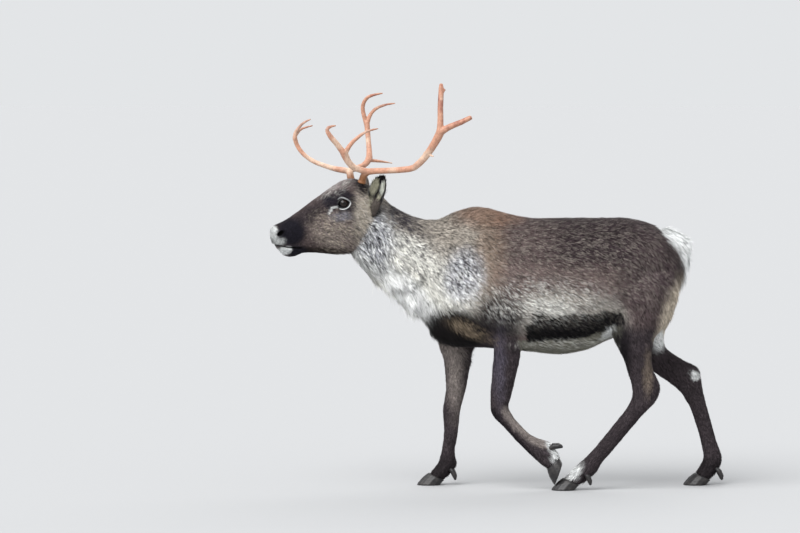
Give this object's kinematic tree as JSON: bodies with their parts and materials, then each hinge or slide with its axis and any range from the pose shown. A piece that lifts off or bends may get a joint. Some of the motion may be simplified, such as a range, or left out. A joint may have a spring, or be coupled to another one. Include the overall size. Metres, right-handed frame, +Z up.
{
  "type": "reindeer",
  "caption": "Life-size still model of a young bull reindeer walking, head turned a little to its left, with branched bare antlers and a pale throat mane.",
  "frame": {"origin": "centre of the bounding box at floor level, under the belly", "axes": "+Z up, -X the way the animal walks, -Y its left side"},
  "size_m": [1.714, 0.5554, 1.5196],
  "materials": {
    "back_coat": "short dense winter coat, dark brown above, cream and black along the flank",
    "neck_coat": "long soft mane hair, grey to white",
    "face_coat": "very short brown face hair, white muzzle",
    "ear_coat": "short grey hair, pale inside",
    "leg_coat": "short flat slate-brown hair, white above the hoof",
    "tail_coat": "white tufted hair",
    "antler": "bare antler freshly out of velvet, pink-tan with red stains",
    "hoof": "black horn, half matt",
    "eye": "dark wet eye"
  },
  "bodies": {
    "root": {"antler_left_base": "antler", "antler_left_beam_lower": "antler", "antler_left_beam_upper": "antler", "antler_left_brow": "antler", "antler_left_brow_front": "antler", "antler_left_brow_rear": "antler", "antler_left_tine_rear": "antler", "antler_left_tine_top": "antler", "antler_right_base": "antler", "antler_right_beam_lower": "antler", "antler_right_beam_upper": "antler", "antler_right_brow": "antler", "antler_right_brow_front": "antler", "antler_right_brow_palm": "antler", "antler_right_brow_rear": "antler", "antler_right_tine_rear": "antler", "antler_right_tine_top": "antler", "antler_right_tine_upper": "antler", "ear_left": "ear_coat", "ear_right": "ear_coat", "eye_left": "eye", "eye_right": "eye", "fore_left_cannon": "leg_coat", "fore_left_claw_a": "hoof", "fore_left_claw_b": "hoof", "fore_left_dewclaw_a": "hoof", "fore_left_dewclaw_b": "hoof", "fore_left_upper": "leg_coat", "fore_right_cannon": "leg_coat", "fore_right_claw_a": "hoof", "fore_right_claw_b": "hoof", "fore_right_dewclaw_a": "hoof", "fore_right_dewclaw_b": "hoof", "fore_right_upper": "leg_coat", "head": "face_coat", "hind_left_cannon": "leg_coat", "hind_left_claw_a": "hoof", "hind_left_claw_b": "hoof", "hind_left_dewclaw_a": "hoof", "hind_left_dewclaw_b": "hoof", "hind_left_upper": "leg_coat", "hind_right_cannon": "leg_coat", "hind_right_claw_a": "hoof", "hind_right_claw_b": "hoof", "hind_right_dewclaw_a": "hoof", "hind_right_dewclaw_b": "hoof", "hind_right_upper": "leg_coat", "neck": "neck_coat", "tail": "tail_coat", "torso": "back_coat"}
  },
  "joints": []
}
